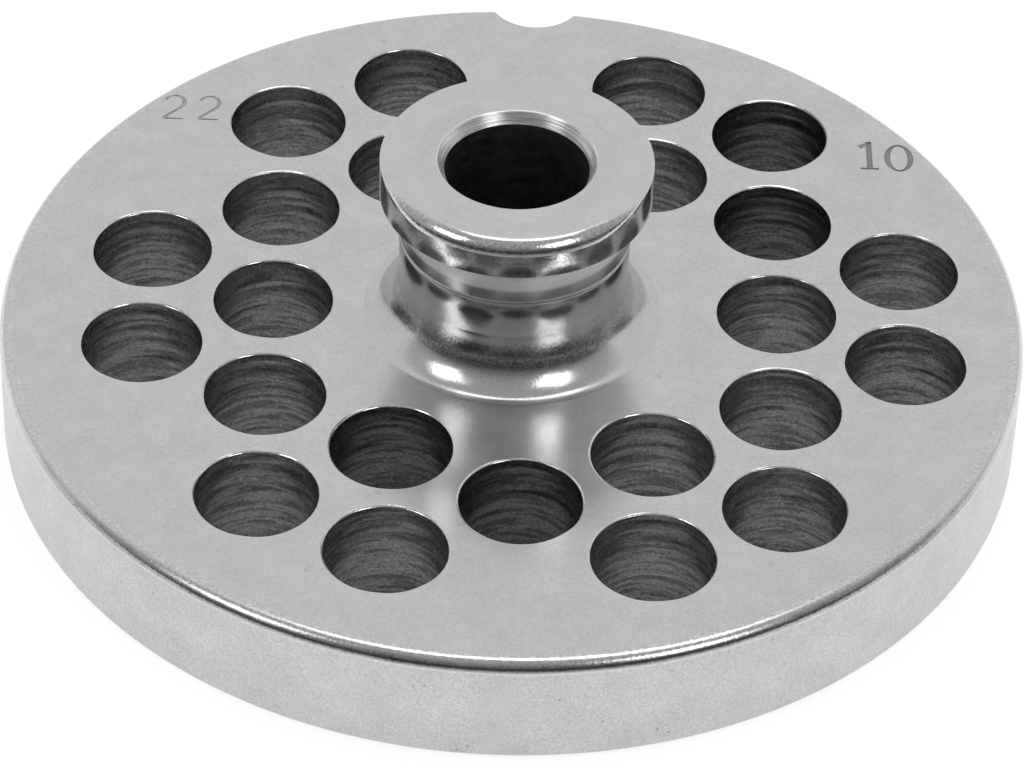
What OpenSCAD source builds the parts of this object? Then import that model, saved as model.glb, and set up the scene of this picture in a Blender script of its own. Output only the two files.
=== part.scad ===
// Perforated disc for a food grinder, with a turned hub and a locating notch

/* [Plate] */
// Outer diameter of the disc
plate_d = 82; // [80:0.5:90]
// Thickness of the disc
plate_t = 9.7; // [7:0.1:14]
// Rounding of the edge on the hub side
edge_r = 1.1; // [0.3:0.1:1.6]
// Bevel of the edge on the cutting side
base_bevel = 0.3; // [0.1:0.1:0.8]

/* [Holes] */
// Diameter of each drilled hole
hole_d = 9.6; // [6:0.1:10.4]
// Distance between the centres of neighbouring holes
pitch = 11.67; // [11.2:0.01:11.9]
// Shift of the hole pattern from the middle of the disc, to the right
pattern_x = 1; // [-1:0.1:1]
// Shift of the hole pattern from the middle of the disc, towards the notch
pattern_y = 0.4; // [-1:0.1:1]

/* [Notch] */
// Radius of the round notch in the edge
notch_r = 3.9; // [2.5:0.1:5]
// Depth of the notch below the edge
notch_depth = 2.9; // [1.5:0.1:3.2]
// Direction of the notch, counted from the right
notch_angle = 88.2; // [80:0.1:100]
// Radius of the softened corner on the notch's right side
notch_blend = 1.2; // [0.4:0.1:2]

/* [Hub] */
// Height of the hub above the disc
hub_h = 15.2; // [14.4:0.1:20]
// Diameter of the hub's flange
flange_d = 21.5; // [21:0.1:23]
// Height of the flange's straight band
band_h = 2.1; // [1:0.1:2.6]
// Height of the flange's rounded shoulder
shoulder_h = 1.15; // [0.6:0.05:1.5]
// Radius of the rounded shoulder
shoulder_r = 1.75; // [1.6:0.05:3]
// Diameter of the neck
neck_d = 18.3; // [17:0.1:19]
// Height of the neck's upper ledge above the disc
neck_h = 7.9; // [7.4:0.1:8.6]
// Width of the sloping ledge on top of the neck
ledge_w = 0.12; // [0.05:0.01:0.25]

/* [Waist and foot] */
// Diameter of the waist where it meets the flange
waist_d = 20; // [18.6:0.1:20.8]
// Depth of the waist groove below the straight line between its two edges
groove_depth = 0.36; // [0.1:0.02:0.7]
// Height above the disc at which the foot begins to spread
flare_h = 4; // [3:0.1:5.4]
// Radius of the small fillet between the foot and the disc
foot_r = 1.6; // [0.2:0.05:3]

/* [Bore] */
// Diameter of the bore
bore_d = 11.4; // [8:0.1:12.5]
// Width of the bevel at the bore's mouth
mouth_w = 0.56; // [0.2:0.02:1]
// Height of the bevel at the bore's mouth
mouth_h = 0.96; // [0.3:0.02:1.6]

/* [Hidden] */
$fn = 160;

// Extra length that lets a cutter run clear of a face
over = 1;

plate_r = plate_d / 2;
hole_r = hole_d / 2;
bore_r = bore_d / 2;
flange_r = flange_d / 2;
neck_r = neck_d / 2;
hub_top = plate_t + hub_h;

// The shoulder is an arc, level at the hub's top face, that ends on the band's upper edge
shoulder_rise = shoulder_r - shoulder_h;
shoulder_cx = flange_r - sqrt(pow(shoulder_r, 2) - pow(shoulder_rise, 2));
shoulder_cz = hub_h - shoulder_r;
band_z = hub_h - shoulder_h - band_h;

// The waist groove is an arc from the ledge's inner edge to the flange's underside,
// and its radius follows from the distance between those edges and its depth
waist_r = waist_d / 2;
ledge_r = neck_r - ledge_w;
ledge_z = neck_h + ledge_w;
span_x = waist_r - ledge_r;
span_z = band_z - ledge_z;
span = sqrt(pow(span_x, 2) + pow(span_z, 2));
groove_r = (pow(span / 2, 2) + pow(groove_depth, 2)) / (2 * groove_depth);
groove_cx = (ledge_r + waist_r) / 2 + (groove_r - groove_depth) * span_z / span;
groove_cz = (ledge_z + band_z) / 2 - (groove_r - groove_depth) * span_x / span;

// The foot's long curve leaves the neck upright and turns until it falls by 3 in 4,
// and the small fillet carries on from there to the disc
turn_sin = 0.8;
turn_cos = 0.6;
join_z = foot_r * (1 - turn_sin);
flare_r = (flare_h - join_z) / turn_sin;
flare_cx = neck_r + flare_r;
join_r = flare_cx - flare_r * turn_cos;
foot_cx = join_r + foot_r * turn_cos;

// The notch is a circle, and its right corner is softened by a circle that touches
// both the notch and the disc's edge
notch_c = plate_r - notch_depth + notch_r;
blend_a = plate_r - notch_blend;
blend_b = notch_r + notch_blend;
blend_turn = acos((pow(notch_c, 2) + pow(blend_a, 2) - pow(blend_b, 2)) / (2 * notch_c * blend_a));
blend_x = blend_a * sin(blend_turn);
blend_y = blend_a * cos(blend_turn);
corner_turn = acos((pow(notch_c, 2) + pow(plate_r, 2) - pow(notch_r, 2)) / (2 * notch_c * plate_r));
touch_t = notch_r / blend_b;
touch_x = blend_x * touch_t;
touch_y = notch_c + (blend_y - notch_c) * touch_t;
rim_x = blend_x * plate_r / blend_a;
rim_y = blend_y * plate_r / blend_a;

// Half section of the disc, with its rounded and its bevelled edge
module disc_section() {
    difference() {
        square([plate_r, plate_t]);
        difference() {
            translate([plate_r - edge_r, plate_t - edge_r])
                square([edge_r + over, edge_r + over]);
            translate([plate_r - edge_r, plate_t - edge_r])
                circle(r = edge_r);
        }
        polygon([
            [plate_r - base_bevel, 0],
            [plate_r - base_bevel, -over],
            [plate_r + over, -over],
            [plate_r + over, base_bevel],
            [plate_r, base_bevel]
        ]);
    }
}

// Half section of the flange: a straight band below and a rounded shoulder above
module flange_section() {
    intersection() {
        translate([0, band_z])
            square([flange_r, hub_h - band_z]);
        union() {
            translate([0, band_z])
                square([shoulder_cx, hub_h - band_z]);
            translate([0, band_z])
                square([flange_r, shoulder_cz - band_z]);
            translate([shoulder_cx, shoulder_cz])
                circle(r = shoulder_r);
        }
    }
}

// Half section between the neck and the flange, hollowed by the waist groove.
// The ledge's slope runs on inside, so that groove and ledge meet in one sharp line
module waist_section() {
    difference() {
        translate([0, neck_h])
            square([groove_cx, band_z - neck_h]);
        translate([groove_cx, groove_cz])
            circle(r = groove_r);
    }
    polygon([
        [0, neck_h],
        [neck_r, neck_h],
        [neck_r - 2 * ledge_w, neck_h + 2 * ledge_w],
        [0, neck_h + 2 * ledge_w]
    ]);
}

// Half section of the neck and of the foot that spreads onto the disc
module foot_section() {
    translate([0, -over])
        square([neck_r, neck_h + over]);
    difference() {
        translate([0, join_z])
            square([join_r, flare_h - join_z]);
        translate([flare_cx, flare_h])
            circle(r = flare_r);
    }
    difference() {
        translate([0, -over])
            square([foot_cx, join_z + over]);
        translate([foot_cx, foot_r])
            circle(r = foot_r);
    }
}

// Disc and hub, turned from one section
module turned_blank() {
    rotate_extrude()
        union() {
            disc_section();
            translate([0, plate_t])
                union() {
                    flange_section();
                    waist_section();
                    foot_section();
                }
        }
}

// Bore through hub and disc, with a bevelled mouth at the top
module bore_cut() {
    translate([0, 0, -over])
        cylinder(h = hub_top + 2 * over, r = bore_r);
    translate([0, 0, hub_top - mouth_h])
        cylinder(h = 2 * mouth_h, r1 = bore_r, r2 = bore_r + 2 * mouth_w);
}

// One drilled hole, placed by its steps along two directions of the pattern
module hole_cut(x, y) {
    translate([pattern_x + x, pattern_y + y, -over])
        cylinder(h = plate_t + 2 * over, r = hole_r);
}

// The holes lie on a triangular grid: for each sixth of a turn there is one hole
// two steps out, one between two such holes, and a pair in the outer ring
module holes_cut() {
    for (k = [0 : 5]) {
        a = 60 * k - 90;
        ax = pitch * cos(a);
        ay = pitch * sin(a);
        bx = pitch * cos(a + 60);
        by = pitch * sin(a + 60);
        hole_cut(2 * ax, 2 * ay);
        hole_cut(ax + bx, ay + by);
        hole_cut(2 * ax + bx, 2 * ay + by);
        hole_cut(ax + 2 * bx, ay + 2 * by);
    }
}

// Section of the notch, pointing up, with its right corner softened
module notch_section() {
    translate([0, notch_c])
        circle(r = notch_r);
    difference() {
        polygon([
            [touch_x, touch_y],
            [rim_x, rim_y],
            [rim_x * 1.05, rim_y * 1.05],
            [0, notch_c]
        ]);
        translate([blend_x, blend_y])
            circle(r = notch_blend);
    }
}

module notch_cut() {
    rotate([0, 0, notch_angle - 90])
        translate([0, 0, -over])
            linear_extrude(height = plate_t + 2 * over)
                notch_section();
}

module grinder_plate() {
    color([0.66, 0.66, 0.67])
        difference() {
            turned_blank();
            bore_cut();
            holes_cut();
            notch_cut();
        }
}

grinder_plate();
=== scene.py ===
# Looks of a steel grinder plate: one detailed closed mesh, procedural steel, studio light and camera.
# Shapes are worked out in millimetres and turned into metres when a mesh is made.

import math

import bmesh
import bpy
import numpy as np
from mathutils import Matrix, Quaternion, Vector


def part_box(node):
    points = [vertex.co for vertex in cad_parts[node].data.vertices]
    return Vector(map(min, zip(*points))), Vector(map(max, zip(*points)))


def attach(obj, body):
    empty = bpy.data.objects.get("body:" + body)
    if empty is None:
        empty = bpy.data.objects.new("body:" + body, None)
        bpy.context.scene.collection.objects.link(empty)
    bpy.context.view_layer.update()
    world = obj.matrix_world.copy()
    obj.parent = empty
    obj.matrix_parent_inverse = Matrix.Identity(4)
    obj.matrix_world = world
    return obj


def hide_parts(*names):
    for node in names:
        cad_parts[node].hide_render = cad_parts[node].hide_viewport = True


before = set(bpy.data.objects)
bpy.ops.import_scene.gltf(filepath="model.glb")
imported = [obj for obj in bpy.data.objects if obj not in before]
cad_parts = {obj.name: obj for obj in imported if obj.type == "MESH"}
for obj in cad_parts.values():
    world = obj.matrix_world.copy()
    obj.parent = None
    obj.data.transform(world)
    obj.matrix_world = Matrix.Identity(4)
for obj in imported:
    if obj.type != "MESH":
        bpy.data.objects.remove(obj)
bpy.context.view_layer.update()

# A millimetre in metres
MM = 0.001

# Names of the node and its body
NODE = "grinder_plate"
BODY = "root"

# Sizes of the disc and its holes
PLATE_R = 41.0
PLATE_T = 9.7
EDGE_R = 1.1
BASE_BEVEL = 0.3
HOLE_R = 4.8
PITCH = 11.67
PATTERN = np.array([1.0, 0.4])

# Sizes of the notch
NOTCH_R = 3.9
NOTCH_DEPTH = 2.9
NOTCH_TURN = math.radians(88.2)
NOTCH_BLEND = 1.2

# Heights above the disc and radii of the hub; its top comes from the frame
HUB_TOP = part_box(NODE)[1].z / MM
HUB_H = HUB_TOP - PLATE_T
FLANGE_R = 10.75
BAND_H = 2.1
SHOULDER_H = 1.15
SHOULDER_END = 8.0
NECK_R = 9.15
NECK_H = 7.9
LEDGE_W = 0.12
WAIST_R = 10.0
GROOVE_DEPTH = 0.36
FLARE_H = 4.0
FOOT_R = 1.6

# The crease round the neck: its height, half its width and its depth
CREASE_H = 4.68
CREASE_HALF = 0.07
CREASE_DEPTH = 0.008

# Radius of the small roundings
SOFT_R = 0.1
# How far the ledge's outer edge is softened, across and down
LEDGE_SOFT = (0.02, 0.03)
# How far from an edge the flat face beside it has its first points
MARGIN = 0.4

# Sizes of the bore and of the bevel at its mouth
BORE_R = 5.7
MOUTH_W = 0.56
MOUTH_H = 0.96
# Rows of points on the bore's wall, from this far above the underside to this far below the bevel
BORE_ROWS = 12
BORE_LOW = 0.1
BORE_HIGH = 0.05
# How far outside the wall the bevel starts, and at which shares of its width it has points
BEVEL_START = 0.01
BEVEL_SHARES = (0.35, 0.7)
# The rounded lip above the bevel, as radius and height from the bevel's upper end
LIP_POINTS = ((-0.05, -0.08), (0.0, -0.02), (0.06, 0.0))

# The shoulder's outline in arcs: the directions in degrees at which they meet, and their radii
WORN_TURNS = (0, 14, 24, 57, 90)
WORN_RADII = (0.2, 1.9, 1.5, 1.0)
CRISP_TURNS = (0, 30, 60, 90)
CRISP_RADII = (0.12, 0.12, 0.12)
# Steps in the worn arcs; the crisp ones have the last three
SHOULDER_STEPS = (3, 4, 8, 10)
# The crisp outline has three points below its arcs: how far above the band they start, and how far apart
CRISP_START = 0.05
CRISP_STEP = 0.2
# How far inside the arcs the flat top has its first point
SHOULDER_MARGIN = 0.12

# The shoulder is worn round in front: its middle, and how far it is fully worn and worn at all
WORN_MIDDLE = math.radians(-94)
WORN_FULL = math.radians(38)
WORN_END = math.radians(74)

# Where the first 2, the foot of the 1's stem and the 0 begin on the disc's face
MARK_22 = np.array([-29.8, 23.7])
MARK_1 = np.array([29.54, 19.66])
MARK_0 = np.array([30.78, 19.38])
# How wide and high the figures are, how far apart the two 2s begin, and how deep all of them are
SIZE_22 = np.array([1.85, 3.15])
SIZE_10 = np.array([2.45, 3.62])
MARK_STEP = 2.95
MARK_DEPTH = 0.1

# The figure 2 in a square with sides of 1: its curved head, its diagonal and its foot
HEAD_MIDDLE = (0.47, 0.73)
HEAD_HALF = (0.44, 0.27)
DIAGONAL = ((0.82, 0.52), (0.53, 0.34), (0.24, 0.17), (0.04, 0.02))
FOOT_2 = ((0.02, 0.0), (0.93, -0.01))
# Widths of its strokes in millimetres
HEAD_WIDTHS = np.r_[np.linspace(0.3, 0.2, 7), np.linspace(0.22, 0.36, 8)]
DIAGONAL_WIDTHS = (0.32, 0.26, 0.28, 0.4)
FOOT_2_WIDTHS = (0.2, 0.14)

# The figure 1: how far above its foot the stem starts, its flag from the stem's top, and its foot
STEM_1_START = 0.1
FLAG_1 = ((0.05, -0.14), (-0.85, -0.75))
FOOT_1 = ((-0.78, 0.0), (0.74, 0.0))
# Widths of its strokes
STEM_1_WIDTH = 0.5
FLAG_1_WIDTHS = (0.34, 0.5)
FOOT_1_WIDTH = 0.24

# The figure 0: how much smaller its inner edge is, how far its walls lean, and its steps
ZERO_RING = np.array([1.0, 0.4])
ZERO_LEAN = np.array([0.13, 0.05])
ZERO_STEPS = 40

# A stroke's width at its bottom as a share of that at the top, and a limit for the mitre in its corners
STROKE_BOTTOM = 0.45
MITRE_LEAST = 0.6

# Rings that the drill left on a hole's wall: their lead, their lengths and heights, and how they fade
DRILL_LEAD = 0.5
RING_LENGTHS = (0.62, 0.95, 1.6, 2.9)
RING_HEIGHTS = (0.012, 0.016, 0.02, 0.02)
RING_FADE = 0.35
FADE_HEIGHT = 2.3

# Tears on a hole's wall: how many there are, their slant, and how far they stand in or out
TEARS = 34
TEAR_SLANT = 0.4
TEAR_HEIGHTS = (-0.03, 0.05)
# Their least width and height, and the most that chance adds to each
TEAR_WIDTH = 0.2
TEAR_TALL = 0.14
WIDTH_CHANCE = 0.45
TALL_CHANCE = 0.2

# How far below the face the marks on a hole's wall end, and from where they fade
MARKS_END = 0.2
MARKS_FADE = 0.8
# The worn edge round a hole: width, height, share of the width at its foot, and how far below it starts
EDGE_WEAR = 0.13
EDGE_WEAR_H = 0.05
WEAR_SHARE = 0.25
WEAR_START = 0.04
# Waves in the worn edge's width: their lengths as parts of a turn, and their heights
WEAR_LENGTHS = (1, 1 / 2, 1 / 5, 1 / 9)
WEAR_HEIGHTS = (0.025, 0.02, 0.015, 0.015)

# Holes whose walls get a painted shadow of the hub, which shades them, by their numbers in hole_centres,
# counted from 0
HUB_SHADOW_HOLES = (0, 8, 10, 21)

# How finely round things are divided: steps in a turn, in a hole and up its wall
TURN_STEPS = 256
HOLE_STEPS = 48
WALL_STEP = 0.24

# How far a cutter runs clear of what it cuts, and how close together points are welded
OVER = 1.0
WELD = 0.002
# An edge that turns by more than this is sharp
SHARP_TURN = math.radians(40)

# How far out the turned foot reaches, and how far beyond their walls the holes and the bore reach
FOOT_REACH = 13.0
HOLE_REACH = 0.3
BORE_REACH = 0.1
# How deep the worn edge of a hole goes
WORN_EDGE_H = 0.11
# How far above the band's lower edge, above its upper edge and below the bevel their finishes begin
BAND_START = 0.05
SHOULDER_START = 0.02
MOUTH_START = 0.02
# The figures lie further out and further back than this, and their floors at least this deep
MARK_X = 24.0
MARK_Y = 18.0
MARK_LEAST = 0.001
# How close faces lie to a size that they are tested against, the flat ones closer, with an upright normal
NEAR = 0.01
FLAT_NEAR = 0.004
FLAT_NORMAL = 0.9999

# How far the flat faces stretch reflections, and the radii between which they turn from dull to smooth
GROUND_STRETCH = 0.8
DULL_END = (14, 21)

# Dark stains on the disc's front edge: heights from the face between which they begin and end
EDGE_STAIN_LOW = (-0.98, -0.8)
EDGE_STAIN_HIGH = (-0.36, -0.18)
# The front of the disc's edge ends between these
EDGE_FRONT_Y = (-24, -12)

# Heights above the disc between which the coarse start of the foot begins and ends
FOOT_GRAIN_LOW = (2.2, 2.6)
FOOT_GRAIN_HIGH = (3.9, 4.6)
# Heights, and distances to the left and right, between which the painted dark reflections beside the neck
# begin
NECK_REFLECTION_LOW = (3.4, 4.4)
NECK_REFLECTION_X = (5.8, 7.8)
# Heights between which the waist turns paler, a painted reflection of the bright disc, and the shoulder's
# top becomes flat
WAIST_SHEEN_H = (9.05, 9.35)
TOP_FLAT = (HUB_H - 0.3, HUB_H - 0.03)

# How much the hub's colour and roughness vary
COLOUR_VARIES = 0.02
ROUGH_VARIES = 0.03
# Radius of the circle along which marks on turned steel are laid out
MARKS_R = 10

# How bright the walls of the holes are, and those of the holes with the hub's painted shadow
HOLE_SHINE = 0.53
HUB_SHADOW_SHINE = 0.3

# The camera: its place, its aim, its lens and its sensor in millimetres, and its roll
CAMERA_PLACE = Vector((-1.3075, -286.246, 247.843))
CAMERA_AIM = Vector((0.1186, -9.2648, 9.7))
CAMERA_LENS = 163.181
CAMERA_SENSOR = 36
CAMERA_ROLL = math.radians(1.9007)
# The nearest that it sees, in metres
CAMERA_CLIP = 0.01

# The studio: the room's light by angle over the top, from the front at 0 to the back at 180 degrees
ROOM = (
    (0, 0.05), (8, 0.06), (14, 0.09), (26, 0.23), (38, 0.41), (50, 0.45), (62, 0.48), (80, 0.5),
    (96, 0.6), (110, 0.85), (150, 0.85), (180, 0.8),
)

# Two softboxes: side and height in degrees, size in metres and radiance
LEFT_SOFTBOX = (-58, 39, 0.3, 3.3)
RIGHT_SOFTBOX = (39.5, 39, 0.3, 4.0)
# How far away they are, in metres
LAMP_AWAY = 0.9

# The panel overhead, in metres, and its radiance
PANEL_PLACE = Vector((0.06, 0.06, 0.9))
PANEL_SIZE = (0.65, 0.26)
PANEL_RADIANCE = 2.4

# The floor's height and half its width
FLOOR_Z = -0.02
FLOOR_HALF = 6000.0
# Its own light, and its grey under the plate and round it
FLOOR_GLOW = 0.8
FLOOR_UNDER = 0.8
FLOOR_GREY = 0.3
# How far inside the rim it begins to glow
SHADE_R = 0.8
# Its share of its light far in front, and the places between which it dims
FLOOR_FAR = 0.15
FLOOR_BRIGHT_Y = -62.0
FLOOR_DIM_Y = -100.0


# Plane outlines

def arc(centre, radius, start, end, steps):
    """Points on a circle from one angle in degrees to another."""
    angles = np.radians(np.linspace(start, end, steps + 1))
    return np.c_[centre[0] + radius * np.cos(angles), centre[1] + radius * np.sin(angles)]


def without_repeats(points, least=1e-6):
    """Drops each point that lies on the one before it."""
    points = np.asarray(points, float)
    step = np.linalg.norm(points - np.roll(points, 1, axis=0), axis=1)
    return points[step > least]


def chained_arcs(start, turns, radii, steps):
    """Arcs that run on smoothly, from a point. turns are the directions in degrees at which they meet."""
    point, runs = np.asarray(start, float), [[start]]
    for first, last, radius, count in zip(turns, turns[1:], radii, steps):
        centre = point - radius * np.array([math.cos(math.radians(first)), math.sin(math.radians(first))])
        run = arc(centre, radius, first, last, count)[1:]
        runs.append(run)
        point = run[-1]
    return np.vstack(runs)


def shoulder_outline(worn):
    """From the band's top edge to the top face, worn or with a crisp edge."""
    if worn:
        line = chained_arcs((0, 0), WORN_TURNS, WORN_RADII, SHOULDER_STEPS)
        line += [FLANGE_R, HUB_H - line[-1, 1]]
    else:
        edge = chained_arcs((0, 0), CRISP_TURNS, CRISP_RADII, SHOULDER_STEPS[1:])
        edge += [FLANGE_R, HUB_H - edge[-1, 1]]
        start = HUB_H - SHOULDER_H + CRISP_START
        line = np.vstack([[[FLANGE_R, start + step * CRISP_STEP] for step in range(3)], edge])
    return np.vstack([line, line[-1] - [SHOULDER_MARGIN, 0], [SHOULDER_END, HUB_H]])


def hub_outline(worn):
    """Half outline of the hub, from the disc up to the top face, as radius and height above the disc."""
    slope_sin, slope_cos = 0.8, 0.6
    slope = math.degrees(math.atan2(slope_sin, slope_cos))
    join_z = FOOT_R * (1 - slope_sin)
    flare_r = (FLARE_H - join_z) / slope_sin
    flare_x = NECK_R + flare_r
    foot_x = flare_x - flare_r * slope_cos + FOOT_R * slope_cos
    band_z = HUB_H - SHOULDER_H - BAND_H

    ledge_r = NECK_R - LEDGE_W
    ledge_z = NECK_H + LEDGE_W
    low, high = np.array([ledge_r, ledge_z]), np.array([WAIST_R, band_z])
    chord = high - low
    span = np.linalg.norm(chord)
    groove_r = ((span / 2) ** 2 + GROOVE_DEPTH ** 2) / (2 * GROOVE_DEPTH)
    outward = np.array([chord[1], -chord[0]]) / span
    groove = (low + high) / 2 + (groove_r - GROOVE_DEPTH) * outward
    first = math.degrees(math.atan2(*(low - groove)[::-1])) % 360
    last = math.degrees(math.atan2(*(high - groove)[::-1])) % 360

    crease = [
        [NECK_R, CREASE_H - CREASE_HALF],
        [NECK_R - CREASE_DEPTH, CREASE_H],
        [NECK_R, CREASE_H + CREASE_HALF],
    ]
    across, down = LEDGE_SOFT
    ledge = [[NECK_R, NECK_H - down], [NECK_R - across, NECK_H + across], [ledge_r, ledge_z]]
    return np.vstack([
        arc((foot_x, FOOT_R), FOOT_R, 270, 180 + slope, steps=8),
        arc((flare_x, FLARE_H), flare_r, 180 + slope, 180, steps=26),
        crease,
        [[NECK_R, (CREASE_H + NECK_H) / 2]],
        ledge,
        arc(groove, groove_r, first, last, steps=20),
        [[FLANGE_R - SOFT_R, band_z]],
        arc((FLANGE_R - SOFT_R, band_z + SOFT_R), SOFT_R, 270, 360, steps=4),
        [[FLANGE_R, band_z + BAND_H / 2]],
        shoulder_outline(worn),
    ])


def blank_outline(worn):
    """Closed half outline of disc and hub, with a narrow shaft left open along the axis."""
    shaft = 1.0
    hub = hub_outline(worn) + [0, PLATE_T]
    return without_repeats(np.vstack([
        [[shaft, 0], [PLATE_R - BASE_BEVEL - MARGIN, 0]],
        arc((PLATE_R - BASE_BEVEL - SOFT_R, SOFT_R), SOFT_R, 270, 315, steps=2),
        arc((PLATE_R - SOFT_R, BASE_BEVEL + SOFT_R), SOFT_R, 315, 360, steps=2),
        [[PLATE_R, PLATE_T / 2]],
        arc((PLATE_R - EDGE_R, PLATE_T - EDGE_R), EDGE_R, 0, 90, steps=16),
        [[PLATE_R - EDGE_R - MARGIN, PLATE_T]],
        hub,
        [[shaft, HUB_TOP]],
    ]))


def notch_outline():
    """Closed outline of the notch cutter: a circle, a softened right corner and room outside the rim."""
    middle = PLATE_R - NOTCH_DEPTH + NOTCH_R
    outside = PLATE_R + 4
    a, b = PLATE_R - NOTCH_BLEND, NOTCH_R + NOTCH_BLEND
    turn = math.acos((middle ** 2 + a ** 2 - b ** 2) / (2 * middle * a))
    blend = np.array([a * math.sin(turn), a * math.cos(turn)])
    to_notch = math.degrees(math.atan2(middle - blend[1], -blend[0]))
    to_rim = math.degrees(math.atan2(blend[1], blend[0]))
    start = math.degrees(math.atan2(blend[1] - middle, blend[0]))
    outline = np.vstack([
        arc((0, middle), NOTCH_R, 180, 360 + start, steps=36),
        arc(blend, NOTCH_BLEND, to_notch, to_rim, steps=8),
        [outside / a * blend],
        [[-NOTCH_R, outside]],
    ])
    tilt = NOTCH_TURN - math.pi / 2
    spin = np.array([[math.cos(tilt), math.sin(tilt)], [-math.sin(tilt), math.cos(tilt)]])
    return without_repeats(outline @ spin)


def hole_centres():
    """The 24 holes on their triangular grid: for each sixth of a turn there is one two steps out,
    one between two such holes, and a pair in the outer ring."""
    centres = []
    for k in range(6):
        turn = math.radians(60 * k - 90)
        a = PITCH * np.array([math.cos(turn), math.sin(turn)])
        turn += math.radians(60)
        b = PITCH * np.array([math.cos(turn), math.sin(turn)])
        centres += [2 * a, a + b, 2 * a + b, a + 2 * b]
    return np.array(centres) + PATTERN


# Meshes

def mesh_object(name, points, faces):
    """Makes an object from points in millimetres and lists of their numbers."""
    mesh = bpy.data.meshes.new(name)
    mesh.from_pydata((np.asarray(points) * MM).tolist(), [], faces)
    form = bmesh.new()
    form.from_mesh(mesh)
    bmesh.ops.recalc_face_normals(form, faces=form.faces)
    form.to_mesh(mesh)
    form.free()
    item = bpy.data.objects.new(name, mesh)
    bpy.context.scene.collection.objects.link(item)
    return item


def loop_faces(rows, steps, closed):
    """Quads between neighbouring rows of points, each row a closed loop.
    closed joins the last row to the first."""
    faces = []
    for i in range(rows if closed else rows - 1):
        here, above = i * steps, (i + 1) % rows * steps
        for j in range(steps):
            k = (j + 1) % steps
            faces.append([here + j, here + k, above + k, above + j])
    return faces


def turned(name, new, worn):
    """A closed ring turned from a closed outline of radius and height, which changes to the worn
    outline in front."""
    angles = np.linspace(0, 2 * math.pi, TURN_STEPS, endpoint=False)
    off = np.abs((angles - WORN_MIDDLE + math.pi) % (2 * math.pi) - math.pi)
    share = np.clip((WORN_END - off) / (WORN_END - WORN_FULL), 0, 1)
    share = share ** 2 * (3 - 2 * share)
    rows = []
    for (r, z), (worn_r, worn_z) in zip(new, worn):
        radius = r + share * (worn_r - r)
        rows.append(np.c_[radius * np.cos(angles), radius * np.sin(angles), z + share * (worn_z - z)])
    return mesh_object(name, np.vstack(rows), loop_faces(len(rows), TURN_STEPS, True))


def stack(name, rows):
    """A closed solid through a stack of loops, lowest first, with a flat face at each end."""
    steps = len(rows[0])
    faces = loop_faces(len(rows), steps, False)
    faces.append(list(range(steps))[::-1])
    faces.append([(len(rows) - 1) * steps + j for j in range(steps)])
    return mesh_object(name, np.vstack(rows), faces)


def level(outline, z):
    """A plane outline as points at one height."""
    return np.c_[outline, np.full(len(outline), z)]


def carve(blank, cutters):
    """Cuts closed solids that don't touch each other out of the blank, and removes them."""
    with bpy.context.temp_override(active_object=cutters[0], selected_editable_objects=cutters):
        bpy.ops.object.join()
    cut = blank.modifiers.new("cut", "BOOLEAN")
    cut.object = cutters[0]
    cut.operation = "DIFFERENCE"
    cut.solver = "MANIFOLD"
    bpy.context.view_layer.update()
    view = bpy.context.evaluated_depsgraph_get()
    mesh = bpy.data.meshes.new_from_object(blank.evaluated_get(view))
    blank.modifiers.clear()
    old, blank.data = blank.data, mesh
    bpy.data.meshes.remove(old)
    tool = cutters[0].data
    bpy.data.objects.remove(cutters[0])
    bpy.data.meshes.remove(tool)


# Cutters

def wave_sum(x, rng, lengths, heights):
    """A sum of sine waves with seeded phases, one for each wave length."""
    total = np.zeros_like(x)
    for length, height in zip(lengths, heights):
        total += height * np.sin(2 * math.pi * (x / length + rng.random()))
    return total


def drill_marks(angle, z, rng):
    """How far a drilled wall stands off its circle: rings with a slight lead, and short tears and ridges."""
    rings = wave_sum(z + DRILL_LEAD * angle / (2 * math.pi), rng, RING_LENGTHS, RING_HEIGHTS)
    around = np.sin(angle * rng.integers(1, 4) + 2 * math.pi * rng.random())
    along = np.sin(z / FADE_HEIGHT + 2 * math.pi * rng.random())
    marks = rings * (1 - RING_FADE + RING_FADE * around * along)
    for _ in range(TEARS):
        middle, height = 2 * math.pi * rng.random(), PLATE_T * rng.random()
        width = TEAR_WIDTH + WIDTH_CHANCE * rng.random()
        tall = TEAR_TALL + TALL_CHANCE * rng.random()
        away = (angle - middle + math.pi) % (2 * math.pi) - math.pi
        drop = (z - height + TEAR_SLANT * away) / tall
        marks += rng.choice(TEAR_HEIGHTS) * np.exp(-(away / width) ** 2 - drop ** 2)
    return marks


def hole_cutter(name, centre, rng):
    """The space a drill leaves: a marked wall and a softened, slightly uneven upper edge."""
    turns = np.linspace(0, 2 * math.pi, HOLE_STEPS, endpoint=False)
    heights = np.r_[-OVER, np.arange(0, PLATE_T - MARKS_END, WALL_STEP)]
    angle, z = np.meshgrid(turns, heights)
    below_top = np.clip((PLATE_T - z) / MARKS_FADE, 0, 1)
    radii = HOLE_R + below_top * drill_marks(angle, z, rng)
    share = turns / (2 * math.pi)
    wear = EDGE_WEAR + wave_sum(share, rng, WEAR_LENGTHS, WEAR_HEIGHTS)
    low = PLATE_T - EDGE_WEAR_H
    top = [(low - WEAR_START, 0), (low, WEAR_SHARE), (PLATE_T, 1), (PLATE_T + OVER, 1)]
    heights = np.r_[heights, [height for height, _ in top]]
    radii = np.vstack([radii] + [HOLE_R + wear * part for _, part in top])
    rows = []
    for height, radius in zip(heights, radii):
        ring = np.c_[centre[0] + radius * np.cos(turns), centre[1] + radius * np.sin(turns)]
        rows.append(level(ring, height))
    return stack(name, rows)


def round_rows(outline):
    """Loops of a turned solid, from its outline of radius and height, lowest first."""
    turns = np.linspace(0, 2 * math.pi, TURN_STEPS, endpoint=False)
    return [level(np.c_[r * np.cos(turns), r * np.sin(turns)], z) for r, z in outline]


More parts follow.
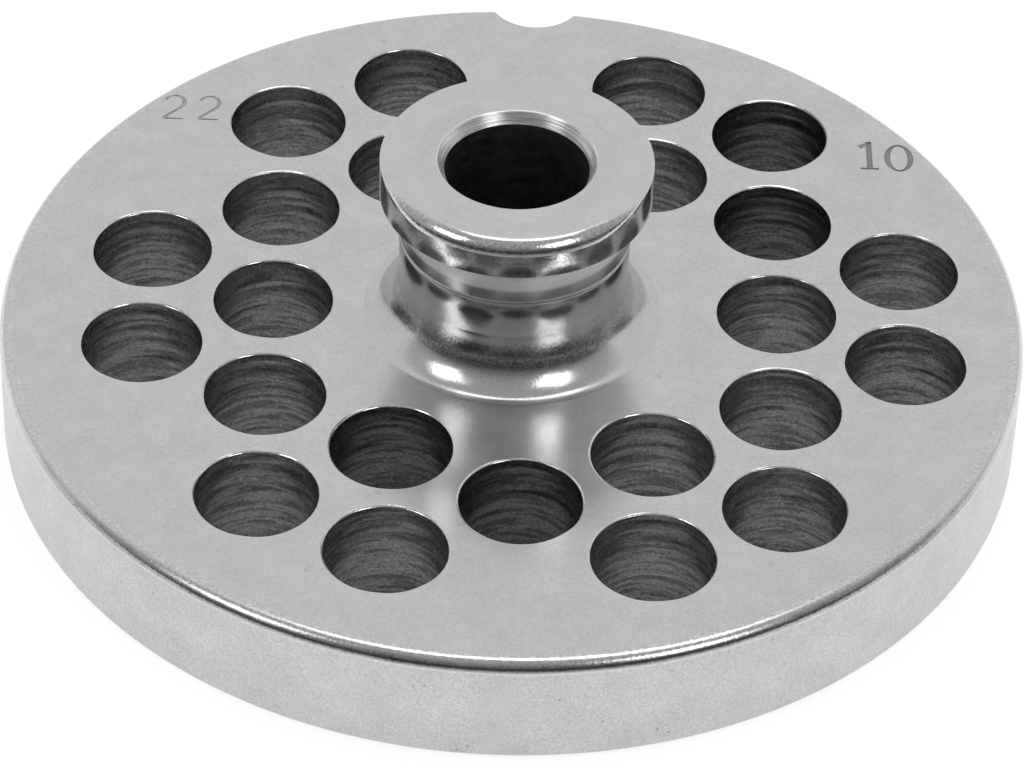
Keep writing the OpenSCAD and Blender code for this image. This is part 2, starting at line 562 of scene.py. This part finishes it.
def bore_cutter():
    """The bore with its bevelled mouth, and a small rounding between the bevel and the top face."""
    bevel_z = HUB_TOP - MOUTH_H
    mouth_r = BORE_R + MOUTH_W
    rows = [(BORE_R, -OVER)]
    rows += [(BORE_R, z) for z in np.linspace(BORE_LOW, bevel_z - BORE_HIGH, BORE_ROWS)]
    rows.append((BORE_R + BEVEL_START, bevel_z))
    rows += [(BORE_R + share * MOUTH_W, HUB_TOP - (1 - share) * MOUTH_H) for share in BEVEL_SHARES]
    rows += [(mouth_r + across, HUB_TOP + up) for across, up in LIP_POINTS]
    rows.append((rows[-1][0], HUB_TOP + OVER))
    return stack("bore_cutter", round_rows(rows))


def notch_cutter():
    """The notch's outline, drawn up through the disc."""
    outline = notch_outline()
    heights = np.linspace(-OVER, PLATE_T + OVER, 8)
    return stack("notch_cutter", [level(outline, z) for z in heights])


def stroke(line, widths):
    """Outline of a stroke along a line of points, with its width at each."""
    line, half = np.asarray(line, float), np.broadcast_to(widths, len(line)) / 2
    along = np.diff(line, axis=0)
    along /= np.linalg.norm(along, axis=1)[:, None]
    before, after = np.vstack([along[:1], along]), np.vstack([along, along[-1:]])
    middle = before + after
    middle /= np.linalg.norm(middle, axis=1)[:, None]
    side = np.c_[-middle[:, 1], middle[:, 0]]
    mitre = 1 / np.clip((middle * after).sum(1), MITRE_LEAST, 1)
    offset = side * (half * mitre)[:, None]
    return np.vstack([line - offset, (line + offset)[::-1]])


def stroke_cutter(name, line, widths):
    """Cuts a stroke into the disc's face, narrower at its bottom."""
    widths = np.asarray(widths, float)
    low, top = stroke(line, STROKE_BOTTOM * widths), stroke(line, widths)
    rows = [level(low, PLATE_T - MARK_DEPTH), level(top, PLATE_T), level(top, PLATE_T + OVER)]
    return stack(name, rows)


def two(name, left, low):
    """Cutters for a figure 2 with its lower left corner at this place: its curve, and its foot."""
    head = arc((0, 0), 1, 165, -10, steps=14) * HEAD_HALF + HEAD_MIDDLE
    line = np.vstack([head, DIAGONAL]) * SIZE_22 + [left, low]
    foot = np.array(FOOT_2) * SIZE_22 + [left, low]
    curve = stroke_cutter(name, line, np.r_[HEAD_WIDTHS, DIAGONAL_WIDTHS])
    return curve, stroke_cutter(name + "_foot", foot, FOOT_2_WIDTHS)


def zero(name, left, low):
    """The cutter for a figure 0: a ring with thick sides and a thin top and bottom."""
    outer, inner = SIZE_10 / 2, (SIZE_10 - ZERO_RING) / 2
    middle = outer + [left, low]
    sizes = [
        (outer, PLATE_T + OVER),
        (outer, PLATE_T),
        (outer - ZERO_LEAN, PLATE_T - MARK_DEPTH),
        (inner + ZERO_LEAN, PLATE_T - MARK_DEPTH),
        (inner, PLATE_T),
        (inner, PLATE_T + OVER),
    ]
    circle = arc((0, 0), 1, 0, 360, ZERO_STEPS)[:-1]
    rows = [level(circle * size + middle, z) for size, z in sizes]
    return mesh_object(name, np.vstack(rows), loop_faces(len(rows), ZERO_STEPS, True))


def size_marks():
    """Cutters of the plain size numbers, in groups that don't touch: grinder size 22 and hole size 10."""
    stem, low = MARK_1
    high = low + SIZE_10[1]
    upright = [[stem, low + STEM_1_START], [stem, (low + high) / 2], [stem, high]]
    flag = [stem, high] + np.array(FLAG_1)
    first, first_foot = two("two_a", *MARK_22)
    second, second_foot = two("two_b", MARK_22[0] + MARK_STEP, MARK_22[1])
    main = [
        first,
        second,
        stroke_cutter("one_stem", upright, STEM_1_WIDTH),
        zero("zero", *MARK_0),
    ]
    ends = [
        first_foot,
        second_foot,
        stroke_cutter("one_flag", flag, FLAG_1_WIDTHS),
        stroke_cutter("one_foot", MARK_1 + np.array(FOOT_1), FOOT_1_WIDTH),
    ]
    return main, ends


# The plate

# The finishes, in the order of the plate's materials
FINISHES = (
    "ground", "turned", "band", "shoulder", "edge", "rim",
    "drilled", "hub_shadow", "bored", "mouth", "marked",
)


def weld(mesh):
    """Joins points that the cutting left closer together than WELD."""
    form = bmesh.new()
    form.from_mesh(mesh)
    bmesh.ops.remove_doubles(form, verts=form.verts, dist=WELD * MM)
    form.to_mesh(mesh)
    form.free()


def sort_faces(mesh):
    """The number in FINISHES of each face's finish, from where the face lies. Later rules win."""
    count = len(mesh.polygons)
    middle, normal = np.empty(count * 3), np.empty(count * 3)
    mesh.polygons.foreach_get("center", middle)
    mesh.polygons.foreach_get("normal", normal)
    middle, normal = middle.reshape(-1, 3) / MM, normal.reshape(-1, 3)
    x, y, z = middle.T
    radius = np.hypot(x, y)
    to_holes = np.array([np.hypot(x - cx, y - cy) for cx, cy in hole_centres()])
    to_hole, nearest = to_holes.min(axis=0), to_holes.argmin(axis=0)
    up = z - PLATE_T
    band_h = HUB_H - SHOULDER_H - BAND_H
    in_hole = to_hole < HOLE_R + HOLE_REACH
    in_bore = radius < BORE_R + MOUTH_W + BORE_REACH
    marked = (np.abs(x) > MARK_X) & (y > MARK_Y) & (up < -MARK_LEAST) & (up > -2 * MARK_DEPTH)
    level_z = np.min([np.abs(z), np.abs(up), np.abs(z - HUB_TOP)], axis=0)
    flat = (np.abs(normal[:, 2]) > FLAT_NORMAL) & (level_z < FLAT_NEAR)
    on_shoulder = (z > HUB_TOP - NEAR) & (radius > SHOULDER_END)
    rules = (
        ("edge", (radius > PLATE_R - EDGE_R) & (up > -EDGE_R)),
        ("turned", (up > -NEAR) & (radius < FOOT_REACH)),
        ("band", (up > band_h + BAND_START) & (radius > FLANGE_R - NEAR)),
        ("shoulder", (up > band_h + BAND_H + SHOULDER_START) & (normal[:, 2] > -0.5)),
        ("drilled", in_hole),
        # Walls of the holes that the hub shades get a darker finish: a painted shadow
        ("hub_shadow", in_hole & np.isin(nearest, HUB_SHADOW_HOLES)),
        ("edge", in_hole & (up > -WORN_EDGE_H)),
        ("bored", in_bore & (to_hole > HOLE_R)),
        ("mouth", in_bore & (z > HUB_TOP - MOUTH_H - MOUTH_START)),
        ("marked", marked & (radius < PLATE_R - EDGE_R)),
        ("ground", flat & ~on_shoulder),
    )
    finish = np.full(count, FINISHES.index("rim"))
    for name, chosen in rules:
        finish[chosen] = FINISHES.index(name)
    return finish


def mark_sharp_edges(mesh, finish):
    """Makes edges sharp where two finishes meet or the surface turns by more than SHARP_TURN."""
    form = bmesh.new()
    form.from_mesh(mesh)
    form.faces.ensure_lookup_table()
    for edge in form.edges:
        one, other = edge.link_faces
        turn = one.normal.angle(other.normal, 0)
        edge.smooth = bool(finish[one.index] == finish[other.index]) and turn < SHARP_TURN
    for face in form.faces:
        face.smooth = True
        face.material_index = int(finish[face.index])
    form.to_mesh(mesh)
    form.free()


def steel_plate():
    """The whole plate as one closed mesh: turned, then drilled, bored, notched and marked."""
    rng = np.random.default_rng(22)
    plate = turned("steel_plate", blank_outline(False), blank_outline(True))
    cutters = [bore_cutter(), notch_cutter()]
    cutters += [hole_cutter(f"drill_{i}", centre, rng) for i, centre in enumerate(hole_centres())]
    carve(plate, cutters)
    for group in size_marks():
        carve(plate, group)
    plate.data.materials.clear()
    weld(plate.data)
    finish = sort_faces(plate.data)
    mark_sharp_edges(plate.data, finish)
    return plate


# Materials

def add(tree, kind, inputs=None, **settings):
    """Adds a node with its settings, and fills its inputs with values or with other nodes' outputs."""
    node = tree.nodes.new(kind)
    for name, value in settings.items():
        setattr(node, name, value)
    for key, value in (inputs or {}).items():
        if isinstance(value, bpy.types.NodeSocket):
            tree.links.new(value, node.inputs[key])
        else:
            node.inputs[key].default_value = value
    return node


def grey(value):
    """A grey as red, green, blue and alpha."""
    return (value, value, value, 1)


def millimetres(tree, stretch=(1, 1, 1)):
    """Object coordinates in millimetres, stretched along each axis."""
    place = add(tree, "ShaderNodeTexCoord").outputs["Object"]
    scale = [part / MM for part in stretch]
    return add(tree, "ShaderNodeMapping", {"Vector": place, "Scale": scale}).outputs[0]


def turned_place(tree, around):
    """Coordinates in millimetres for marks that run round the axis: radius and height together, and
    the place on a circle, slowed down to the share that around gives."""
    x, y, z = add(tree, "ShaderNodeSeparateXYZ", {0: millimetres(tree)}).outputs
    flat = add(tree, "ShaderNodeCombineXYZ", {0: x, 1: y})
    radius = add(tree, "ShaderNodeVectorMath", {0: flat.outputs[0]}, operation="LENGTH").outputs["Value"]
    unit = add(tree, "ShaderNodeVectorMath", {0: flat.outputs[0]}, operation="NORMALIZE").outputs[0]
    turn_x, turn_y, _ = add(tree, "ShaderNodeSeparateXYZ", {0: unit}).outputs
    inputs = {
        0: add(tree, "ShaderNodeMath", {0: radius, 1: z}, operation="ADD").outputs[0],
        1: product(tree, turn_x, MARKS_R * around),
        2: product(tree, turn_y, MARKS_R * around),
    }
    return add(tree, "ShaderNodeCombineXYZ", inputs).outputs[0]


def noise(tree, place, scale, detail=3.0, roughness=0.55):
    """A noise value from 0 to 1. scale is in waves for each millimetre."""
    return add(
        tree, "ShaderNodeTexNoise",
        {"Vector": place, "Scale": scale, "Detail": detail, "Roughness": roughness},
    ).outputs["Fac"]


def spread(tree, value, low, high, start=0.3, end=0.7):
    """Maps a value between start and end to one between low and high."""
    return add(
        tree, "ShaderNodeMapRange",
        {"Value": value, "From Min": start, "From Max": end, "To Min": low, "To Max": high},
    ).outputs[0]


def rise(tree, value, start, end):
    """0 up to the start and 1 from the end on."""
    return spread(tree, value, 0, 1, start, end)


def fall(tree, value, start, end):
    """1 up to the start and 0 from the end on."""
    return spread(tree, value, 1, 0, start, end)


def vary(tree, value, middle, amount):
    """Maps a noise value to one that varies by an amount both ways."""
    return spread(tree, value, middle - amount, middle + amount)


def product(tree, one, other):
    """One value times another value or a number."""
    return add(tree, "ShaderNodeMath", {0: one, 1: other}, operation="MULTIPLY").outputs[0]


def bump(tree, height, distance, strength=1.0):
    """Bump from a height from 0 to 1, where 1 stands distance millimetres high."""
    inputs = {"Height": height, "Distance": distance * MM, "Strength": strength}
    return add(tree, "ShaderNodeBump", inputs).outputs[0]


def metal(name):
    """An empty metal material, with its tree and shader."""
    material = bpy.data.materials.new(name)
    material.use_nodes = True
    tree = material.node_tree
    shader = tree.nodes["Principled BSDF"]
    shader.inputs["Metallic"].default_value = 1
    return material, tree, shader


def stretch_upright(tree, shader, amount):
    """Stretches reflections along the axis, as marks that run round it do."""
    shader.inputs["Anisotropic"].default_value = amount
    upright = add(tree, "ShaderNodeCombineXYZ", {2: 1.0}).outputs[0]
    tree.links.new(upright, shader.inputs["Tangent"])


def set_surface(tree, shader, colour, roughness, normal=None):
    """Links a grey value, a roughness and a normal to the shader."""
    tree.links.new(colour, shader.inputs["Base Color"])
    tree.links.new(roughness, shader.inputs["Roughness"])
    if normal:
        tree.links.new(normal, shader.inputs["Normal"])


def pits(tree, place, scale, share):
    """1 on bare metal and less in small pits. scale is in pits for each millimetre,
    and share is how many of them show."""
    cells = add(tree, "ShaderNodeTexVoronoi", {"Vector": place, "Scale": scale, "Randomness": 1.0})
    near = rise(tree, cells.outputs["Distance"], 0.05, 0.22)
    chosen = add(tree, "ShaderNodeSeparateColor", {0: cells.outputs["Color"]}).outputs[0]
    hidden = add(tree, "ShaderNodeMath", {0: chosen, 1: share}, operation="GREATER_THAN").outputs[0]
    return add(tree, "ShaderNodeMath", {0: near, 1: hidden}, operation="MAXIMUM").outputs[0]


def ground_steel():
    """Flat faces, ground and lightly polished: cloudy, with rare pits, and duller round the hub."""
    material, tree, shader = metal("steel_ground")
    place = millimetres(tree)
    shader.inputs["Anisotropic"].default_value = GROUND_STRETCH
    flat = millimetres(tree, (1, 1, 0))
    outward = add(tree, "ShaderNodeVectorMath", {0: flat}, operation="NORMALIZE").outputs[0]
    tree.links.new(outward, shader.inputs["Tangent"])
    radius = add(tree, "ShaderNodeVectorMath", {0: flat}, operation="LENGTH").outputs["Value"]
    clouds = spread(tree, noise(tree, place, 0.3, detail=6, roughness=0.7), 0.55, 0.615)
    spots = spread(tree, pits(tree, place, 0.6, share=0.05), 0.84, 1.0, start=0, end=1)
    specks = spread(tree, noise(tree, place, 5.0, detail=3, roughness=0.8), 0.94, 1.06, start=0.38, end=0.62)
    colour = product(tree, product(tree, clouds, spots), specks)
    dull = spread(tree, radius, 1.5, 1, *DULL_END)
    rough = product(tree, spread(tree, noise(tree, place, 0.35, detail=5), 0.15, 0.19), dull)
    skin = noise(tree, place, 1.6, detail=3)
    set_surface(tree, shader, colour, rough, bump(tree, skin, 0.0006))
    return material


def above_disc(tree):
    """The height above the disc in millimetres."""
    z = add(tree, "ShaderNodeSeparateXYZ", {0: millimetres(tree)}).outputs["Z"]
    return add(tree, "ShaderNodeMath", {0: z, 1: PLATE_T}, operation="SUBTRACT").outputs[0]


def blend(tree, share, one, other):
    """A value between two others, one at share 0 and the other at share 1."""
    return add(tree, "ShaderNodeMix", {0: share, 2: one, 3: other}).outputs[0]


def edge_steel():
    """Rounded and broken edges, worn bright. In front the disc's edge is coarse,
    with dark stains along it."""
    material, tree, shader = metal("steel_edge")
    place = millimetres(tree)
    grain = noise(tree, place, 5.0, detail=3, roughness=0.7)
    back = add(tree, "ShaderNodeSeparateXYZ", {0: place}).outputs["Y"]
    front = fall(tree, back, *EDGE_FRONT_Y)
    up = above_disc(tree)
    strip = product(tree, rise(tree, up, *EDGE_STAIN_LOW), fall(tree, up, *EDGE_STAIN_HIGH))
    lines = noise(tree, turned_place(tree, around=0.3), 2.5, detail=4, roughness=0.7)
    streaks = spread(tree, lines, 0.3, 1.0)
    spots = spread(tree, grain, 0.3, 1.25, start=0.4, end=0.6)
    stain_and_dark_reflection = product(tree, product(tree, strip, front), product(tree, streaks, spots))
    tone = spread(tree, grain, 0.51, 0.67, start=0.38, end=0.62)
    colour = product(tree, tone, blend(tree, stain_and_dark_reflection, 1.0, 0.35))
    rough = spread(tree, noise(tree, place, 1.0, detail=3), 0.08, 0.13)
    height = product(tree, grain, blend(tree, front, 1.0, 4.0))
    set_surface(tree, shader, colour, rough, bump(tree, height, 0.004))
    return material


def hub_steel(name, colour, rough, relief, tone):
    """Turned steel with a grain and fine lines round the axis. relief is their height in millimetres,
    and tone how much lighter and darker the grain is. Returns the nodes that the finishes change."""
    material, tree, shader = metal(name)
    place = millimetres(tree)
    grain = noise(tree, place, 4.5, detail=2, roughness=0.7)
    lines = noise(tree, turned_place(tree, around=0.03), 3.0, detail=4, roughness=0.7)
    return {
        "material": material,
        "tree": tree,
        "shader": shader,
        "place": place,
        "grain": grain,
        "colour": vary(tree, noise(tree, place, 0.5, detail=4), colour, COLOUR_VARIES),
        "tone": vary(tree, grain, 1, tone),
        "rough": vary(tree, noise(tree, place, 1.2, detail=4), rough, ROUGH_VARIES),
        "height": blend(tree, 0.25, grain, lines),
        "relief": relief,
    }


def finish_hub(steel):
    """Links the nodes of a hub finish to its shader."""
    tree = steel["tree"]
    normal = bump(tree, steel["height"], steel["relief"])
    colour = product(tree, steel["colour"], steel["tone"])
    set_surface(tree, steel["shader"], colour, steel["rough"], normal)
    return steel["material"]


def turned_steel():
    """Most of the hub: rough under the flange and paler there as a painted reflection of the bright disc,
    coarse at the start of the foot, and darker beside the neck as a painted reflection of the holes."""
    steel = hub_steel("steel_turned", colour=0.55, rough=0.19, relief=0.01, tone=0.06)
    tree, place = steel["tree"], steel["place"]
    up = above_disc(tree)
    uneven = noise(tree, place, 0.9, detail=5, roughness=0.7)
    wander = add(tree, "ShaderNodeMath", {0: up, 1: uneven}, operation="ADD").outputs[0]
    foot = product(tree, rise(tree, wander, *FOOT_GRAIN_LOW), fall(tree, wander, *FOOT_GRAIN_HIGH))
    across = add(tree, "ShaderNodeSeparateXYZ", {0: place}).outputs["X"]
    aside = add(tree, "ShaderNodeMath", {0: across}, operation="ABSOLUTE").outputs[0]
    # Beside the neck the colour is darkened: a painted reflection of the dark holes in the disc
    stain_and_dark_reflection = product(tree, rise(tree, aside, *NECK_REFLECTION_X), rise(tree, wander, *NECK_REFLECTION_LOW))
    # Under the flange the colour turns paler, a painted reflection of the bright disc; the roughness there
    # is the waist's own
    waist_sheen = rise(tree, up, *WAIST_SHEEN_H)
    steel["colour"] = blend(tree, waist_sheen, blend(tree, stain_and_dark_reflection, steel["colour"], 0.33), 0.88)
    groove = spread(tree, up, steel["rough"], 0.3, start=NECK_H, end=NECK_H + 0.3)
    steel["rough"] = blend(tree, waist_sheen, groove, 0.45)
    steel["height"] = product(tree, steel["height"], blend(tree, foot, 1.0, 2.5))
    steel["tone"] = blend(tree, foot, steel["tone"], spread(tree, steel["grain"], 0.45, 1.05))
    return finish_hub(steel)


def band_steel():
    """The flange's straight band, turned and less polished."""
    return finish_hub(hub_steel("steel_band", colour=0.57, rough=0.15, relief=0.014, tone=0.26))


def shoulder_steel():
    """The flange's shoulder, polished bright but with a grain, and its top like the flat faces."""
    steel = hub_steel("steel_shoulder", colour=0.585, rough=0.1, relief=0.02, tone=0.3)
    tree = steel["tree"]
    flat = rise(tree, above_disc(tree), *TOP_FLAT)
    steel["rough"] = blend(tree, flat, steel["rough"], 0.18)
    steel["height"] = product(tree, steel["height"], blend(tree, flat, 1.0, 0.03))
    steel["tone"] = blend(tree, flat, steel["tone"], spread(tree, steel["grain"], 0.95, 1.05))
    return finish_hub(steel)


def rim_steel():
    """The disc's side: satin, with a fine grain, soft blotches and small dark specks."""
    material, tree, shader = metal("steel_rim")
    place = millimetres(tree)
    clouds = spread(tree, noise(tree, place, 0.3, detail=5, roughness=0.6), 0.5, 0.57)
    grain = noise(tree, place, 5.0, detail=3, roughness=0.8)
    specks = spread(tree, pits(tree, place, 1.2, share=0.12), 0.6, 1.0, start=0, end=1)
    tone = product(tree, specks, spread(tree, grain, 0.87, 1.13, start=0.38, end=0.62))
    rough = spread(tree, noise(tree, place, 0.5, detail=4), 0.26, 0.32)
    set_surface(tree, shader, product(tree, clouds, tone), rough, bump(tree, grain, 0.004))
    return material


def drilled_steel(name, shine):
    """Hole walls: dull and dark, torn by the drill. shine is how bright they are; a low shine paints the
    hub's shadow on the walls of some holes.
    """
    material, tree, shader = metal(name)
    place = millimetres(tree)
    inputs = {
        0: millimetres(tree, stretch=(0.1, 0.1, 1.0)),
        1: product(tree, noise(tree, place, 2.0, detail=5, roughness=0.7), 0.5),
    }
    torn = add(tree, "ShaderNodeVectorMath", inputs, operation="ADD").outputs[0]
    rings = spread(tree, noise(tree, torn, 2.6, detail=2, roughness=0.5), 0.5, 1.0, start=0.4, end=0.54)
    fine = spread(tree, noise(tree, torn, 7.0, detail=3, roughness=0.6), 0.75, 1.15, start=0.35, end=0.65)
    grain = noise(tree, place, 5.0, detail=4, roughness=0.7)
    # A low shine here paints the hub's shadow into the holes that it shades
    dark = product(tree, spread(tree, grain, 0.5, 1.4), shine)
    colour = product(tree, product(tree, rings, fine), dark)
    rough = spread(tree, noise(tree, place, 1.5, detail=4), 0.2, 0.3)
    set_surface(tree, shader, colour, rough, bump(tree, grain, 0.01))
    return material


def bored_steel():
    """The bore's wall: fairly smooth, and dark: its colour is darkened well below bare steel as painted
    shade in the deep bore.
    """
    material, tree, shader = metal("steel_bored")
    lines = noise(tree, turned_place(tree, around=0.1), 1.6, detail=5, roughness=0.7)
    # Painted shade of the deep bore: a colour far darker than bare steel
    colour = spread(tree, lines, 0.09, 0.23)
    rough = spread(tree, noise(tree, millimetres(tree), 1.1, detail=3), 0.38, 0.5)
    set_surface(tree, shader, colour, rough, bump(tree, lines, 0.02))
    return material


def mouth_steel():
    """The bevel at the bore's mouth, with clear turning lines."""
    material, tree, shader = metal("steel_mouth")
    stretch_upright(tree, shader, 0.85)
    lines = noise(tree, turned_place(tree, around=0.02), 6.0, detail=2, roughness=0.6)
    colour = spread(tree, lines, 0.5, 0.95, start=0.4, end=0.6)
    rough = spread(tree, noise(tree, millimetres(tree), 1.5, detail=3), 0.3, 0.4)
    set_surface(tree, shader, colour, rough, bump(tree, lines, 0.02))
    return material


def marked_steel():
    """The stamped figures, darker on the right."""
    material, tree, shader = metal("steel_marked")
    place = millimetres(tree)
    right = add(tree, "ShaderNodeSeparateXYZ", {0: place}).outputs["X"]
    clouds = spread(tree, noise(tree, place, 2.0, detail=3), 0.9, 1.1)
    tone = spread(tree, right, 0.42, 0.27, start=-1, end=1)
    rough = spread(tree, noise(tree, place, 3.0, detail=3), 0.4, 0.5)
    set_surface(tree, shader, product(tree, clouds, tone), rough)
    return material


def floor_white():
    """A table lit white, dimmer far in front. Under the plate it gives off nothing,
    so that the holes stay dark."""
    material = bpy.data.materials.new("floor_white")
    material.use_nodes = True
    tree = material.node_tree
    tree.nodes.clear()
    place = add(tree, "ShaderNodeTexCoord").outputs["Object"]
    away = add(tree, "ShaderNodeVectorMath", {0: place}, operation="LENGTH").outputs["Value"]
    edge = ((PLATE_R - SHADE_R) * MM, (PLATE_R - BASE_BEVEL) * MM)
    near = spread(tree, away, 0, FLOOR_GLOW, *edge)
    front = add(tree, "ShaderNodeSeparateXYZ", {0: place}).outputs["Y"]
    far = spread(tree, front, FLOOR_FAR, 1, FLOOR_DIM_Y * MM, FLOOR_BRIGHT_Y * MM)
    glow = add(tree, "ShaderNodeEmission", {"Color": grey(1), "Strength": product(tree, near, far)})
    matt = add(tree, "ShaderNodeBsdfDiffuse", {"Color": spread(tree, away, FLOOR_UNDER, FLOOR_GREY, *edge)})
    both = add(tree, "ShaderNodeAddShader", {0: glow.outputs[0], 1: matt.outputs[0]})
    add(tree, "ShaderNodeOutputMaterial", {"Surface": both.outputs[0]})
    return material


# Studio

def studio_world():
    """A room whose light changes from the front, over the top, to the back."""
    world = bpy.data.worlds.new("studio")
    bpy.context.scene.world = world
    world.use_nodes = True
    tree = world.node_tree
    tree.nodes.clear()
    split = add(tree, "ShaderNodeSeparateXYZ", {0: add(tree, "ShaderNodeTexCoord").outputs["Generated"]})
    forward = product(tree, split.outputs["Y"], -1.0)
    turn = add(tree, "ShaderNodeMath", {0: split.outputs["Z"], 1: forward}, operation="ARCTAN2").outputs[0]
    share = product(tree, turn, 1 / math.pi)
    room = add(tree, "ShaderNodeValToRGB", {0: share})
    stops = room.color_ramp.elements
    while len(stops) > 1:
        stops.remove(stops[-1])
    for i, (degrees, value) in enumerate(ROOM):
        stop = stops[0] if i == 0 else stops.new(degrees / 180)
        stop.position = degrees / 180
        stop.color = grey(value)
    light = add(tree, "ShaderNodeBackground", {"Color": room.outputs[0]})
    add(tree, "ShaderNodeOutputWorld", {"Surface": light.outputs[0]})


def floor():
    """A wide floor just under the plate."""
    corners = np.array([[-1, -1], [1, -1], [1, 1], [-1, 1]]) * FLOOR_HALF
    ground = mesh_object("floor", level(corners, FLOOR_Z), [[0, 1, 2, 3]])
    ground.data.materials.append(floor_white())


def softbox(name, side, height, size, radiance):
    """A square soft light that looks at the plate. side and height are in degrees, from the front."""
    across, up = math.radians(side), math.radians(height)
    away = Vector((math.sin(across) * math.cos(up), -math.cos(across) * math.cos(up), math.sin(up)))
    lamp = bpy.data.lights.new(name, "AREA")
    lamp.shape = "SQUARE"
    lamp.size = size
    lamp.energy = radiance * math.pi * size ** 2
    item = bpy.data.objects.new(name, lamp)
    bpy.context.scene.collection.objects.link(item)
    item.location = away * LAMP_AWAY
    item.rotation_euler = (-away).to_track_quat("-Z", "Y").to_euler()


def panel():
    """A wide soft light flat overhead, which shows as a white line along rounded edges."""
    lamp = bpy.data.lights.new("panel", "AREA")
    lamp.shape = "RECTANGLE"
    lamp.size, lamp.size_y = PANEL_SIZE
    lamp.energy = PANEL_RADIANCE * math.pi * PANEL_SIZE[0] * PANEL_SIZE[1]
    item = bpy.data.objects.new("panel", lamp)
    bpy.context.scene.collection.objects.link(item)
    item.location = PANEL_PLACE


def camera():
    """The photograph's view: a long lens from in front and above, turned a little about its axis."""
    lens = bpy.data.cameras.new("camera")
    lens.sensor_width = CAMERA_SENSOR
    lens.lens = CAMERA_LENS
    lens.clip_start = CAMERA_CLIP
    eye = bpy.data.objects.new("camera", lens)
    bpy.context.scene.collection.objects.link(eye)
    look = CAMERA_AIM - CAMERA_PLACE
    eye.location = CAMERA_PLACE * MM
    level_turn = look.to_track_quat("-Z", "Y")
    eye.rotation_euler = (level_turn @ Quaternion((0, 0, 1), CAMERA_ROLL)).to_euler()
    bpy.context.scene.camera = eye


plate = steel_plate()
for finish in (
    ground_steel(), turned_steel(), band_steel(), shoulder_steel(), edge_steel(), rim_steel(),
    # The second wall material is darker: a painted shadow of the hub in some holes
    drilled_steel("steel_drilled", HOLE_SHINE), drilled_steel("steel_hub_shadow", HUB_SHADOW_SHINE),
    bored_steel(), mouth_steel(), marked_steel(),
):
    plate.data.materials.append(finish)
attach(plate, BODY)
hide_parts(NODE)

floor()
studio_world()
softbox("left_softbox", *LEFT_SOFTBOX)
softbox("right_softbox", *RIGHT_SOFTBOX)
panel()
camera()
bpy.context.scene.view_settings.view_transform = "Standard"
